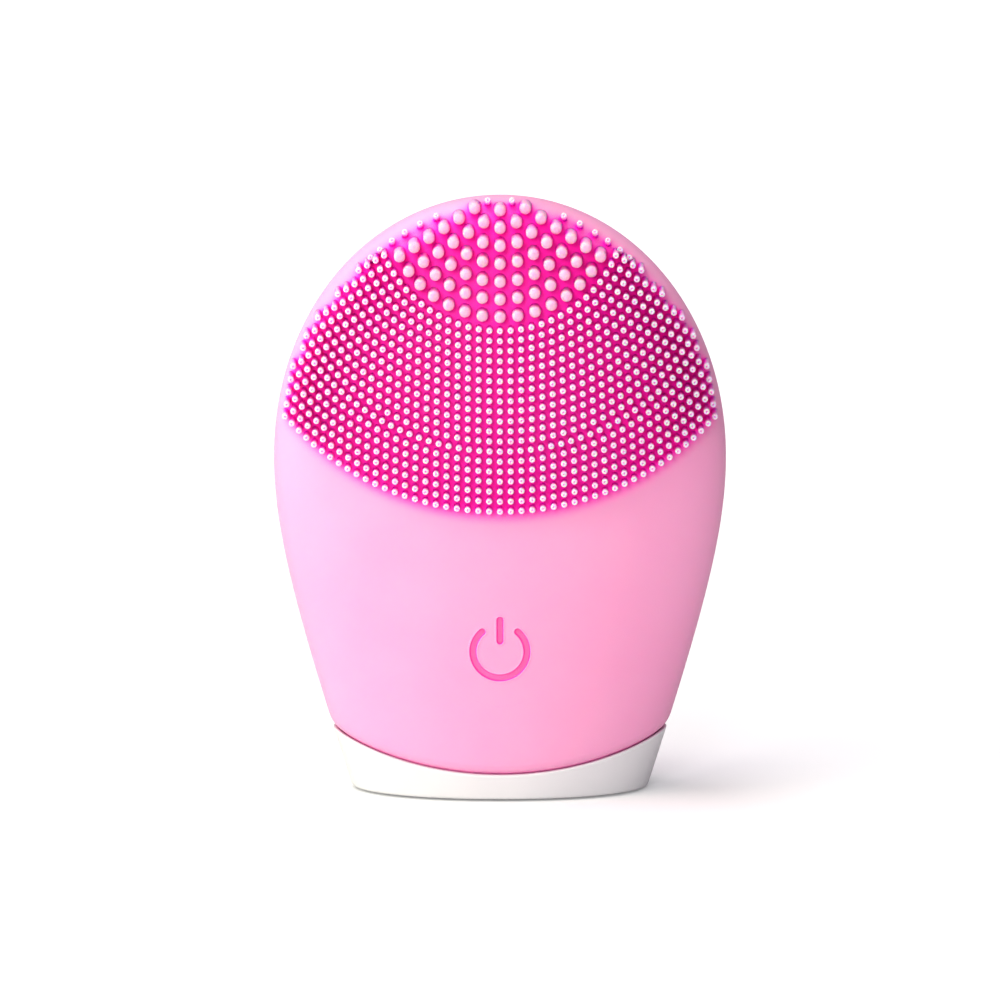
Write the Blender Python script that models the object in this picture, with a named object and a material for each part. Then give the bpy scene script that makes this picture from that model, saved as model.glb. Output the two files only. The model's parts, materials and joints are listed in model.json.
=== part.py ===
"""Facial cleansing brush on a low stand: a silicone-sleeved sonic brush with its inner parts.

Units: dimensions below are millimetres, turned into metres by MM. +Z is up, the bristles face -Y,
and z = 0 is the surface that the stand rests on.
"""

import math

import bmesh
import bpy
from mathutils import Matrix, Vector

MM = 0.001

# ---- body outline, seen from the front (half width) and from the side (half depth) ----
HEIGHT = 89.9
WIDEST_Z = 50.3
HALF_WIDTH = 33.86
HALF_DEPTH = 13.5
TOP_POWER = 2.03
TOP_DEPTH_POWER = 2.2
WAIST_SOFTNESS = 20.0
WIDTH_TAPER = 0.341
DEPTH_TAPER = 0.06
SECTION_POWER = 2.1
AROUND = 36
INNER_DOME_STEPS = 6

# ---- stand ----
RIM_LOW = 4.1
RIM_RADIUS = 61.0
STAND_WALL = 1.05
STAND_UNDER = 0.5
FOOT_RECESS = 1.3
CUP_FLOOR = 2.3
GAP = 0.3

# ---- sleeve and housing ----
SKIN = 1.5
TUCK = STAND_WALL + GAP
SLEEVE_FOOT = CUP_FLOOR + GAP
HOUSING_INSET = SKIN + GAP
HOUSING_WALL = 1.4
HOUSING_FOOT = 5.7
PARTING = 0.7

# ---- bristles ----
FAN_Z = 89.6
THICK_PITCH = 2.63
THICK_RADII = (1.2, 3.9, 6.6, 9.25, 11.9, 14.5, 17.1)
THICK_TIP = 0.85
FIELD_START = 18.4
FIELD_END = 46.4
FIELD_MARGIN = 1.3
FAN_LEAN_DEG = 10.0
SHORTEST, LONGEST, LENGTHENING = 2.4, 4.8, 2.2

# ---- power button ----
BUTTON_Z = 23.1
BUTTON_R = 7.0
BUTTON_THICK = 1.1
ICON_R = 4.07
ICON_LINE = 1.0
ICON_DEPTH = 0.4
ICON_GAP_DEG = 35.0
ICON_BAR_FROM, ICON_BAR_TO = 1.15, 5.3

# ---- charging port ----
PORT_Z = 15.0
PORT_R = 2.9

# ---- inside ----
BOARD_FRONT, BOARD_BACK = -3.5, -2.5
MOTOR_R = 6.0
MOTOR_LOW, MOTOR_HIGH = 57.0, 71.0
SHAFT_R = 0.75
CASE_SCREWS = ((-22.0, 66.0), (22.0, 66.0), (-18.0, 16.0), (18.0, 16.0))
BOARD_SCREWS = ((-11.0, 40.0), (11.0, 40.0))
CRADLE_SCREWS = ((-10.6, 64.0), (10.6, 64.0))


# ------------------------------------------------------------------ outline

def half_width(z, inset=0.0):
    if z > WIDEST_Z:
        u = min((z - WIDEST_Z) / (HEIGHT - inset - WIDEST_Z), 1.0)
        return (HALF_WIDTH - inset) * (1 - u ** TOP_POWER) ** (1 / TOP_POWER)
    drop = math.hypot(WIDEST_Z - z, WAIST_SOFTNESS) - WAIST_SOFTNESS
    return HALF_WIDTH - WIDTH_TAPER * drop - inset


def half_depth(z, inset=0.0):
    if z > WIDEST_Z:
        u = min((z - WIDEST_Z) / (HEIGHT - inset - WIDEST_Z), 1.0)
        return (HALF_DEPTH - inset) * (1 - u ** TOP_DEPTH_POWER) ** (1 / TOP_DEPTH_POWER)
    drop = math.hypot(WIDEST_Z - z, WAIST_SOFTNESS) - WAIST_SOFTNESS
    return HALF_DEPTH - DEPTH_TAPER * drop - inset


def skin_y(x, z, inset=0.0):
    """Front surface of the body (a negative y) at this x and z."""
    q = min(abs(x) / half_width(z, inset), 1.0)
    return -half_depth(z, inset) * (1 - q ** SECTION_POWER) ** (1 / SECTION_POWER)


def bristle_length(x, z):
    """The tips lie on a flatter surface than the skin, so the bristles lengthen towards the edge."""
    fall = HALF_DEPTH + skin_y(x, z)
    return min(SHORTEST + LENGTHENING * (fall / 8.0) ** 2, LONGEST)


def on_fan(r, angle):
    """x and z of a bristle. The arcs are circles on a plane that leans back by FAN_LEAN_DEG."""
    lean = math.radians(FAN_LEAN_DEG)
    x, drop = r * math.sin(angle), r * math.cos(angle)
    z = FAN_Z - drop
    for _ in range(12):
        w = half_width(min(max(z, 0.0), HEIGHT - 0.5))
        at_x, at_z = min(abs(x), w * 0.98), min(z, HEIGHT - 0.5)
        tip = -skin_y(at_x, at_z) + bristle_length(at_x, at_z)
        z = FAN_Z - (drop - (tip - 6.0) * math.sin(lean)) / math.cos(lean)
    return x, z


def rim_z(x):
    return RIM_LOW + RIM_RADIUS - math.sqrt(RIM_RADIUS ** 2 - min(abs(x), 30.0) ** 2)


def tuck_at(z):
    """How much further in the housing sits where the body drops into the stand."""
    u = min(max((17.0 - z) / 4.0, 0.0), 1.0)
    return TUCK * u * u * (3 - 2 * u)


# ------------------------------------------------------------------ mesh helpers

def colour_of(name, rgb, roughness, metallic=0.0):
    mat = bpy.data.materials.new(name)
    mat.use_nodes = True
    shader = mat.node_tree.nodes["Principled BSDF"]
    shader.inputs["Base Color"].default_value = (*rgb, 1.0)
    shader.inputs["Roughness"].default_value = roughness
    shader.inputs["Metallic"].default_value = metallic
    mat.diffuse_color = (*rgb, 1.0)
    return mat


def finish(bm, name, look=None, smooth=True):
    bmesh.ops.recalc_face_normals(bm, faces=bm.faces)
    if bm.calc_volume(signed=True) < 0:
        bmesh.ops.reverse_faces(bm, faces=bm.faces)
    mesh = bpy.data.meshes.new(name)
    bm.to_mesh(mesh)
    bm.free()
    obj = bpy.data.objects.new(name, mesh)
    bpy.context.scene.collection.objects.link(obj)
    for face in mesh.polygons:
        face.use_smooth = smooth
    if look:
        mesh.materials.append(colour_of(name, *look))
    return obj


def section(at_z, w, t, count=AROUND, power=SECTION_POWER):
    """One closed ring of the body. at_z is a height, or a rule that gives it from x."""
    ring = []
    for i in range(count):
        a = 2 * math.pi * (i + 0.5) / count
        c, s = math.cos(a), math.sin(a)
        cx = math.copysign(abs(c) ** (2 / power), c)
        sy = math.copysign(abs(s) ** (2 / power), s)
        if callable(at_z):
            z = at_z(w(12.0) * cx)
            for _ in range(3):
                z = at_z(w(z) * cx)
        else:
            z = at_z
        wide = w(z) if callable(w) else w
        deep = t(z) if callable(t) else t
        ring.append((wide * cx * MM, deep * sy * MM, z * MM))
    return ring


def body_ring(at_z, inset=0.0, count=AROUND):
    return section(at_z, lambda z: half_width(z, inset), lambda z: half_depth(z, inset), count)


def lofted(name, rings, look=None):
    """Joins rings of points in turn. A ring of one point closes the end."""
    bm = bmesh.new()
    rows = [[bm.verts.new(p) for p in ring] for ring in rings]
    for low, high in zip(rows, rows[1:]):
        n = max(len(low), len(high))
        for i in range(n):
            j = (i + 1) % n
            if len(low) == 1:
                bm.faces.new((low[0], high[j], high[i]))
            elif len(high) == 1:
                bm.faces.new((low[i], low[j], high[0]))
            else:
                bm.faces.new((low[i], low[j], high[j], high[i]))
    if len(rows[0]) > 1:
        bm.faces.new(rows[0][::-1])
    if len(rows[-1]) > 1:
        bm.faces.new(rows[-1])
    return finish(bm, name, look)


def dome(inset, steps, high_to_low=True):
    """The rings of the body's round top, from just under its crown to its widest height."""
    rings = []
    for k in range(1, steps + 1):
        a = 0.5 * math.pi * (1 - k / steps)
        z = WIDEST_Z + (HEIGHT - inset - WIDEST_Z) * math.sin(a)
        rings.append(body_ring(z, inset))
    return rings if high_to_low else rings[::-1]


def box(name, x, y, z, look=None, bevel=0.0):
    """A block between the given pairs of limits."""
    bm = bmesh.new()
    bmesh.ops.create_cube(bm, size=1.0)
    mid = Vector([(p[0] + p[1]) / 2 for p in (x, y, z)]) * MM
    for v in bm.verts:
        v.co = Vector([v.co[i] * (p[1] - p[0]) * MM for i, p in enumerate((x, y, z))]) + mid
    if bevel:
        bmesh.ops.bevel(bm, geom=bm.edges[:], offset=bevel * MM, segments=1, affect="EDGES")
    return finish(bm, name, look, smooth=False)


def turned(name, profile, centre, axis, look=None, count=20):
    """Spins (radius, height) points round an axis through centre. Ends on the axis."""
    rings = []
    for radius, along in profile:
        ring = []
        for i in range(count if radius > 1e-6 else 1):
            a = 2 * math.pi * (i + 0.5) / count
            u, v = radius * math.cos(a), radius * math.sin(a)
            p = {"X": (along, u, v), "Y": (u, along, v), "Z": (u, v, along)}[axis]
            ring.append([(c + d) * MM for c, d in zip(centre, p)])
        rings.append(ring)
    return lofted(name, rings, look)


def rod(name, radius, low, high, centre, axis, look=None, count=12, chamfer=0.0):
    c = chamfer
    ends = [(0, low), (radius - c, low)] + ([(radius, low + c), (radius, high - c)] if c else [])
    return turned(name, ends + [(radius - c, high), (0, high)], centre, axis, look, count)


def tube(name, outer, inner, low, high, centre, axis, look=None, count=24):
    """An open-ended ring: outer wall, end, inner wall, end."""
    bm = bmesh.new()
    rows = []
    for radius, along in ((outer, low), (outer, high), (inner, high), (inner, low)):
        row = []
        for i in range(count):
            a = 2 * math.pi * (i + 0.5) / count
            u, v = radius * math.cos(a), radius * math.sin(a)
            p = {"X": (along, u, v), "Y": (u, along, v), "Z": (u, v, along)}[axis]
            row.append(bm.verts.new([(c + d) * MM for c, d in zip(centre, p)]))
        rows.append(row)
    for k in range(4):
        a, b = rows[k], rows[(k + 1) % 4]
        for i in range(count):
            j = (i + 1) % count
            bm.faces.new((a[i], a[j], b[j], b[i]))
    return finish(bm, name, look)


def helper(obj):
    obj.hide_render = True
    obj.display_type = "WIRE"
    return obj


def combine(obj, other, operation):
    mod = obj.modifiers.new(f"{operation.lower()}_{other.name}", "BOOLEAN")
    mod.operation = operation
    mod.solver = "MANIFOLD" if "housing" in obj.name else "EXACT"
    mod.object = helper(other)
    return obj


def cut(obj, other):
    return combine(obj, other, "DIFFERENCE")


def add(obj, other):
    return combine(obj, other, "UNION")


def wire(name, points, look, radius=0.42):
    curve = bpy.data.curves.new(name, "CURVE")
    curve.dimensions = "3D"
    spline = curve.splines.new("POLY")
    path = [Vector(p) for p in points]
    soft = [path[0]]
    for a, b, c in zip(path, path[1:], path[2:]):
        for t in (0.2, 0.5, 0.8):
            p, q = b + (a - b).normalized() * 1.2, b + (c - b).normalized() * 1.2
            soft.append(p * (1 - t) ** 2 + b * 2 * t * (1 - t) + q * t * t)
    soft.append(path[-1])
    spline.points.add(len(soft) - 1)
    for point, p in zip(spline.points, soft):
        point.co = (*(p * MM), 1.0)
    curve.bevel_depth = radius * MM
    curve.bevel_resolution = 1
    curve.use_fill_caps = True
    curve.materials.append(colour_of(name, *look))
    obj = bpy.data.objects.new(name, curve)
    bpy.context.scene.collection.objects.link(obj)
    return obj


def screw(name, x, z, head, tip, head_r, shank_r, look):
    """A pan-head screw along Y, with a hex socket. Its head's outer face is at y = head."""
    way = 1 if head > tip else -1
    under = head - 1.2 * way
    profile = [(0, head), (head_r - 0.3, head), (head_r, head - 0.4 * way), (head_r, under),
               (shank_r, under), (shank_r, tip + 0.5 * way), (0.3, tip), (0, tip)]
    obj = turned(name, profile, (x, 0, z), "Y", look, 12)
    socket = rod(name + "_socket", 0.75, *sorted((head - 0.6 * way, head + 0.5 * way)),
                 (x, 0, z), "Y", None, 6)
    return cut(obj, socket)


# ------------------------------------------------------------------ looks

PINK = ((0.85, 0.12, 0.45), 0.5)
WHITE = ((0.86, 0.86, 0.87), 0.35)
SHELL = ((0.55, 0.56, 0.58), 0.45)
SEAL = ((0.15, 0.15, 0.16), 0.7)
BOARD = ((0.02, 0.22, 0.10), 0.4)
CHIP = ((0.02, 0.02, 0.025), 0.35)
STEEL = ((0.62, 0.63, 0.65), 0.28, 1.0)
TUNGSTEN = ((0.35, 0.34, 0.33), 0.35, 1.0)
NYLON = ((0.80, 0.80, 0.76), 0.4)
POUCH = ((0.70, 0.72, 0.74), 0.3)
RED = ((0.6, 0.02, 0.02), 0.45)
BLACK = ((0.02, 0.02, 0.02), 0.45)


# ------------------------------------------------------------------ stand

def make_stand():
    below = [
        [(0, 0, FOOT_RECESS * MM)],
        body_ring(FOOT_RECESS, 3.3),
        body_ring(STAND_UNDER, 3.2),
        body_ring(STAND_UNDER, 1.0),
        body_ring(STAND_UNDER + 0.3, 0.3),
        body_ring(STAND_UNDER + 1.0),
        body_ring(lambda x: rim_z(x) - 0.35),
        body_ring(lambda x: rim_z(x) - 0.08, 0.12),
        body_ring(lambda x: rim_z(x), 0.35),
        body_ring(lambda x: rim_z(x), STAND_WALL - 0.3),
        body_ring(lambda x: rim_z(x) - 0.25, STAND_WALL),
        body_ring(CUP_FLOOR + 0.5, STAND_WALL),
        body_ring(CUP_FLOOR, STAND_WALL + 0.5),
        [(0, 0, CUP_FLOOR * MM)],
    ]
    lofted("stand_cup", below, WHITE)
    lofted("stand_foot_pad", [
        [(0, 0, 0)],
        body_ring(0.0, 4.0),
        body_ring(0.4, 3.6),
        body_ring(FOOT_RECESS - GAP, 3.6),
        [(0, 0, (FOOT_RECESS - GAP) * MM)],
    ], SEAL)


# ------------------------------------------------------------------ silicone sleeve

def make_sleeve():
    mouth_w, mouth_t = 15.0, 4.4
    rings = [[(0, 0, HEIGHT * MM)]] + dome(0.0, 8)
    rings += [body_ring(z) for z in (42.0, 34.0, 27.0, 20.0)]
    for above, inset in ((5.0, 0.0), (3.2, 0.0), (1.9, 0.1), (1.0, 0.42), (0.4, 0.95), (0.0, TUCK)):
        rings.append(body_ring(lambda x, up=above: rim_z(x) + up, inset))
    rings += [
        body_ring(SLEEVE_FOOT + 0.6, TUCK),
        body_ring(SLEEVE_FOOT, TUCK + 0.6),
        section(SLEEVE_FOOT, mouth_w, mouth_t),
        section(SLEEVE_FOOT + SKIN, mouth_w, mouth_t),
        body_ring(SLEEVE_FOOT + SKIN, TUCK + SKIN + 0.8),
        body_ring(SLEEVE_FOOT + SKIN + 0.8, TUCK + SKIN),
    ]
    rings += [body_ring(z, SKIN + tuck_at(z)) for z in (9.0, 13.0, 15.0, 17.0, 27.0, 38.0)]
    rings += dome(SKIN, INNER_DOME_STEPS, high_to_low=False) + [[(0, 0, (HEIGHT - SKIN) * MM)]]
    sleeve = lofted("silicone_sleeve", rings, PINK)
    add(sleeve, bristle_field())
    add(sleeve, thick_bristles())
    cut(sleeve, rod("button_window", BUTTON_R + GAP, -16.0, -7.0, (0, 0, BUTTON_Z), "Y", None, 32))
    cut(sleeve, rod("port_window", PORT_R + GAP, 6.0, 16.0, (0, 0, PORT_Z), "Y", None, 20))
    lofted("bottom_cap", [
        [(0, 0, (SLEEVE_FOOT + 0.2) * MM)],
        section(SLEEVE_FOOT + 0.2, mouth_w - GAP, mouth_t - GAP),
        section(SLEEVE_FOOT + SKIN + GAP, mouth_w - GAP, mouth_t - GAP),
        section(SLEEVE_FOOT + SKIN + GAP, mouth_w + 2.0, mouth_t + 1.6),
        section(HOUSING_FOOT - GAP, mouth_w + 2.0, mouth_t + 1.6),
        [(0, 0, (HOUSING_FOOT - GAP) * MM)],
    ], SHELL)


def bristle_field():
    """The fine bristles' overall shape: a raised pad between their roots and their tips."""
    arcs, rays = 9, 16
    front, back = [], []
    for i in range(arcs + 1):
        r = FIELD_START + (FIELD_END - FIELD_START) * i / arcs
        low, high = 0.0, math.radians(80)
        for _ in range(40):
            mid = (low + high) / 2
            x, z = on_fan(r, mid)
            inside = x < half_width(z) - FIELD_MARGIN
            low, high = (mid, high) if inside else (low, mid)
        for j in range(rays + 1):
            x, z = on_fan(r, low * (2 * j / rays - 1))
            y = skin_y(x, z)
            front.append((x * MM, (y - bristle_length(x, z)) * MM, z * MM))
            back.append((x * MM, (y + 0.5) * MM, z * MM))
    bm = bmesh.new()
    f = [bm.verts.new(p) for p in front]
    b = [bm.verts.new(p) for p in back]
    wide = rays + 1
    for i in range(arcs):
        for j in range(rays):
            k = i * wide + j
            bm.faces.new((f[k], f[k + 1], f[k + wide + 1], f[k + wide]))
            bm.faces.new((b[k], b[k + wide], b[k + wide + 1], b[k + 1]))
    edge = [j for j in range(wide)] + [i * wide + rays for i in range(1, arcs + 1)]
    edge += [arcs * wide + j for j in range(rays - 1, -1, -1)]
    edge += [i * wide for i in range(arcs - 1, 0, -1)]
    for k, m in zip(edge, edge[1:] + edge[:1]):
        bm.faces.new((f[k], f[m], b[m], b[k]))
    return finish(bm, "fine_bristle_envelope")


def thick_bristles():
    bm = bmesh.new()
    for r in THICK_RADII:
        each_side = max(int(math.radians(64) * r / THICK_PITCH + 0.35), 0)
        for k in range(-each_side, each_side + 1):
            x, z = on_fan(r, k * THICK_PITCH / r)
            if z > HEIGHT - 1.2 or abs(x) > half_width(z) - 1.3:
                continue
            rings = []
            for radius, out in ((THICK_TIP + 0.1, None), (THICK_TIP, bristle_length(x, z))):
                ring = []
                for i in range(6):
                    t = math.pi * (2 * i + 1) / 6
                    px, pz = x + radius * math.cos(t), z + radius * math.sin(t)
                    py = skin_y(x, z) - out if out else skin_y(px, pz) + 0.6
                    ring.append(bm.verts.new((px * MM, py * MM, pz * MM)))
                rings.append(ring)
            for i in range(6):
                j = (i + 1) % 6
                bm.faces.new((rings[0][i], rings[0][j], rings[1][j], rings[1][i]))
            bm.faces.new(rings[0][::-1])
            bm.faces.new(rings[1])
    return finish(bm, "thick_bristle_posts")


# ------------------------------------------------------------------ power button

def make_button():
    bm = bmesh.new()
    rings = []
    for r in (0.0, 2.4, 4.8, BUTTON_R):
        for side in (0, 1):
            ring = []
            for i in range(28 if r else 1):
                a = 2 * math.pi * (i + 0.5) / 28
                x, z = r * math.cos(a), BUTTON_Z + r * math.sin(a)
                y = skin_y(x, z) + side * BUTTON_THICK
                ring.append(bm.verts.new((x * MM, y * MM, z * MM)))
            rings.append(ring)
    front, back = rings[0::2], rings[1::2]
    for half in (front, back):
        for inner, outer in zip(half, half[1:]):
            for i in range(28):
                j = (i + 1) % 28
                if len(inner) == 1:
                    bm.faces.new((inner[0], outer[i], outer[j]))
                else:
                    bm.faces.new((inner[i], outer[i], outer[j], inner[j]))
    for i in range(28):
        j = (i + 1) % 28
        bm.faces.new((front[-1][i], back[-1][i], back[-1][j], front[-1][j]))
    pad = finish(bm, "power_button_pad", PINK)
    cut(pad, icon_ring())
    cut(pad, icon_bar())
    under = -half_depth(BUTTON_Z) + BUTTON_THICK + GAP
    rod("button_plunger", 2.4, under, -7.2, (0, 0, BUTTON_Z), "Y", NYLON, 16, 0.2)
    rod("switch_stem", 1.6, -6.9, -4.9, (0, 0, BUTTON_Z), "Y", BLACK, 16, 0.2)
    base = box("tact_switch_base", (-3, 3), (-6.0, BOARD_FRONT - GAP), (BUTTON_Z - 3, BUTTON_Z + 3),
               STEEL, 0.2)
    cut(base, rod("stem_pocket", 1.9, -7.0, -4.1, (0, 0, BUTTON_Z), "Y", None, 16))


def groove(name, outline):
    """A closed groove cutter that follows the skin at the icon's depth."""
    bm = bmesh.new()
    near, deep = [], []
    for x, z in outline:
        y = skin_y(x, z)
        near.append(bm.verts.new((x * MM, (y - 1.0) * MM, z * MM)))
        deep.append(bm.verts.new((x * MM, (y + ICON_DEPTH) * MM, z * MM)))
    n = len(outline) // 2
    for i in range(n - 1):
        a, b, c, d = i, i + 1, 2 * n - 2 - i, 2 * n - 1 - i
        bm.faces.new((near[a], near[b], near[c], near[d]))
        bm.faces.new((deep[d], deep[c], deep[b], deep[a]))
    for i in range(2 * n):
        j = (i + 1) % (2 * n)
        bm.faces.new((near[j], near[i], deep[i], deep[j]))
    return finish(bm, name)


def icon_ring():
    start = math.radians(90 + ICON_GAP_DEG)
    sweep = math.radians(360 - 2 * ICON_GAP_DEG)
    angles = [start + sweep * i / 20 for i in range(21)]
    outer = [((ICON_R + ICON_LINE / 2) * math.cos(a), BUTTON_Z + (ICON_R + ICON_LINE / 2) * math.sin(a))
             for a in angles]
    inner = [((ICON_R - ICON_LINE / 2) * math.cos(a), BUTTON_Z + (ICON_R - ICON_LINE / 2) * math.sin(a))
             for a in reversed(angles)]
    return groove("icon_ring_cutter", outer + inner)


def icon_bar():
    half = ICON_LINE / 2
    low, high = BUTTON_Z + ICON_BAR_FROM, BUTTON_Z + ICON_BAR_TO
    left = [(-half * 0.5, low), (-half, low + half * 0.5), (-half, high - half * 0.5), (-half * 0.5, high)]
    right = [(-x, z) for x, z in reversed(left)]
    return groove("icon_bar_cutter", left + right)


# ------------------------------------------------------------------ housing

def housing_solid(name, inset, foot):
    rings = [[(0, 0, foot * MM)], body_ring(foot, inset + TUCK + 0.9), body_ring(foot + 0.9, inset + TUCK)]
    rings += [body_ring(z, inset + tuck_at(z)) for z in (13.0, 15.0, 17.0, 27.0, 38.0)]
    rings += dome(inset, INNER_DOME_STEPS, high_to_low=False) + [[(0, 0, (HEIGHT - inset) * MM)]]
    return lofted(name, rings)


def boss(name, x, z, side, near, radius=2.4):
    """A screw post from y = near to just inside the housing's outer face."""
    turn = [math.pi * i / 6 for i in range(12)]
    at = [(x + radius * math.cos(a), z + radius * math.sin(a)) for a in turn]
    far = side * (min(-skin_y(px, pz, HOUSING_INSET + tuck_at(pz)) for px, pz in at) - 0.3)
    return rod(name, radius, *sorted((near, far)), (x, 0, z), "Y", None, 12)


def make_housing():
    for side, name in ((-1, "front_housing"), (1, "rear_housing")):
        shell = housing_solid(name, HOUSING_INSET, HOUSING_FOOT)
        shell.data.materials.append(colour_of(name, *SHELL))
        cut(shell, housing_solid(name + "_hollow", HOUSING_INSET + HOUSING_WALL, HOUSING_FOOT + HOUSING_WALL))
        y = (-PARTING, 40) if side < 0 else (-40, PARTING)
        cut(shell, box(name + "_other_half", (-60, 60), y, (-10, 110)))
        for k, (x, z) in enumerate(CASE_SCREWS):
            add(shell, boss(f"{name}_boss_{k}", x, z, side, side * (PARTING + GAP)))
        if side < 0:
            for k, (x, z) in enumerate(BOARD_SCREWS):
                add(shell, boss(f"board_boss_{k}", x, z, side, BOARD_FRONT - GAP, 2.0))
            for k, (x, z) in enumerate(BOARD_SCREWS):
                cut(shell, rod(f"board_pilot_{k}", 1.05, -7.6, -1.0, (x, 0, z), "Y", None, 10))
            for k, (x, z) in enumerate(CASE_SCREWS):
                cut(shell, rod(f"case_pilot_{k}", 1.15, -5.6, 1.0, (x, 0, z), "Y", None, 10))
            cut(shell, rod("plunger_window", 3.0, -14.0, -7.0, (0, 0, BUTTON_Z), "Y", None, 20))
        else:
            for k, (x, z) in enumerate(CRADLE_SCREWS):
                add(shell, boss(f"cradle_boss_{k}", x, z, side, 1.6, 2.0))
            for k, (x, z) in enumerate(CRADLE_SCREWS):
                cut(shell, rod(f"cradle_pilot_{k}", 1.05, 0.0, 5.6, (x, 0, z), "Y", None, 10))
            for k, (x, z) in enumerate(CASE_SCREWS):
                cut(shell, turned(f"case_way_{k}", [(0, -1.0), (1.15, -1.0), (1.15, 3.9), (2.0, 3.9),
                                                    (2.0, 12.0), (0, 12.0)], (x, 0, z), "Y", None, 12))
            cut(shell, rod("jack_window", 2.6, 6.0, 14.0, (0, 0, PORT_Z), "Y", None, 16))
    gasket = lofted("housing_gasket", edge_band(HOUSING_INSET, PARTING - GAP, HOUSING_FOOT), SEAL)
    cut(gasket, lofted("gasket_inside", edge_band(HOUSING_INSET + HOUSING_WALL, 2.0,
                                                  HOUSING_FOOT + HOUSING_WALL)))


def edge_band(inset, half, foot):
    """The mid-plane outline of the housing as two flat rings, half a thickness each side."""
    line = []
    heights = [foot, foot + 0.9, 13.0, 15.0, 17.0, 27.0, 38.0]
    insets = [inset + TUCK + 0.9, inset + TUCK] + [inset + tuck_at(z) for z in heights[2:]]
    right = [(half_width(z, i), z) for z, i in zip(heights, insets)]
    for k in range(INNER_DOME_STEPS):
        a = 0.5 * math.pi * k / INNER_DOME_STEPS
        z = WIDEST_Z + (HEIGHT - inset - WIDEST_Z) * math.sin(a)
        right.append((half_width(z, inset), z))
    line = right + [(0.0, HEIGHT - inset)] + [(-x, z) for x, z in reversed(right)]
    return [[(x * MM, y * MM, z * MM) for x, z in line] for y in (-half, half)]


# ------------------------------------------------------------------ electronics

def make_electronics():
    board = box("circuit_board", (-14, 14), (BOARD_FRONT, BOARD_BACK), (12.5, 43), BOARD)
    for k, (x, z) in enumerate(BOARD_SCREWS):
        cut(board, rod(f"board_hole_{k}", 1.3, -5.0, -1.0, (x, 0, z), "Y", None, 12))
        screw(f"board_screw_{'left' if x < 0 else 'right'}", x, z, BOARD_BACK + 1.5, -7.2, 1.8, 0.8, STEEL)
    front = BOARD_FRONT - GAP
    box("main_chip", (-9.5, -4.5), (front - 1.0, front), (29, 34), CHIP, 0.15)
    box("charge_chip", (5.5, 8.5), (front - 0.9, front), (19, 23), CHIP, 0.15)
    rod("power_inductor", 2.0, front - 1.8, front, (7.5, 0, 32), "Y", CHIP, 16, 0.2)
    box("status_led", (-0.9, 0.9), (front - 0.7, front), (31.5, 32.6), NYLON, 0.1)
    jack = box("charge_jack", (-4.0, 4.0), (BOARD_BACK + GAP, 7.0), (PORT_Z - 2.9, PORT_Z + 2.9), CHIP, 0.3)
    cut(jack, rod("jack_bore", 1.3, 0.5, 8.0, (0, 0, PORT_Z), "Y", None, 16))
    face = half_depth(PORT_Z)
    turned("charge_port_plug", [(0, 2.6), (0.7, 2.6), (1.0, 3.1), (1.0, face - 1.2), (PORT_R, face - 1.2),
                                (PORT_R, face - 0.15), (2.4, face + 0.2), (0, face + 0.3)],
           (0, 0, PORT_Z), "Y", PINK)
    box("battery_pouch", (-13, 13), (-0.6, 5.9), (22, 50), POUCH, 0.8)
    box("battery_pad", (-9, 9), (6.2, 7.3), (27, 45), SEAL, 0.2)
    box("battery_guard_board", (-11, 11), (0.6, 2.2), (50.3, 53.2), BOARD)
    for x, side, look in ((-8, "black", BLACK), (8, "red", RED)):
        wire(f"battery_wire_{side}", [(x, 1.4, 53.5), (x, 1.4, 55.2), (x, -3.0, 55.2), (x, -3.0, 43.4)], look)
    for x, side, look in ((-2, "black", BLACK), (2, "red", RED)):
        wire(f"motor_wire_{side}", [(x, -1.2, 54.0), (x, -1.2, 51.0), (x, -3.0, 48.0), (x, -3.0, 43.4)], look)


# ------------------------------------------------------------------ vibration motor

def make_motor():
    can = rod("motor_can", MOTOR_R, MOTOR_LOW, MOTOR_HIGH, (0, 0, 0), "Z", STEEL, 28, 0.6)
    cut(can, rod("motor_bore", SHAFT_R + 0.09, 62.0, 75.0, (0, 0, 0), "Z", None, 16))
    rod("motor_end_cap", 5.2, 54.5, MOTOR_LOW - GAP, (0, 0, 0), "Z", NYLON, 24, 0.3)
    tube("motor_damper", 7.2, MOTOR_R + GAP, 60.5, 67.5, (0, 0, 0), "Z", SEAL)
    cradle = tube("motor_cradle", 8.4, 7.5, 60.0, 68.0, (0, 0, 0), "Z", SHELL)
    for k, x in enumerate((-1, 1)):
        wing = sorted((x * 7.9, x * 13.4))
        add(cradle, box(f"cradle_wing_{k}", wing, (-0.4, 1.2), (61.0, 67.0)))
    for k, (x, z) in enumerate(CRADLE_SCREWS):
        cut(cradle, rod(f"cradle_hole_{k}", 1.1, -3.0, 3.0, (x, 0, z), "Y", None, 10))
        screw(f"cradle_screw_{'left' if x < 0 else 'right'}", x, z, -1.9, 5.2, 1.7, 0.8, STEEL)
    rod("motor_shaft", SHAFT_R, 62.3, 80.6, (0, 0, 0), "Z", STEEL, 16, 0.15)
    weight = half_disc("eccentric_weight", 4.6, 73.5, 79.5)
    cut(weight, rod("weight_bore", SHAFT_R + GAP, 70.0, 85.0, (0, 0, 0), "Z", None, 16))


def half_disc(name, radius, low, high):
    """A weight that is heavy on its -X side and has a small hub round the shaft."""
    line = []
    for i in range(17):
        a = math.radians(90 + 180 * i / 16)
        line.append((radius * math.cos(a), radius * math.sin(a)))
    for i in range(7):
        a = math.radians(-60 + 120 * i / 6)
        line.append((2.1 * math.cos(a), 2.1 * math.sin(a)))
    rings = [[(x * MM, y * MM, z * MM) for x, y in line] for z in (low, high)]
    return lofted(name, rings, TUNGSTEN)


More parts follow.
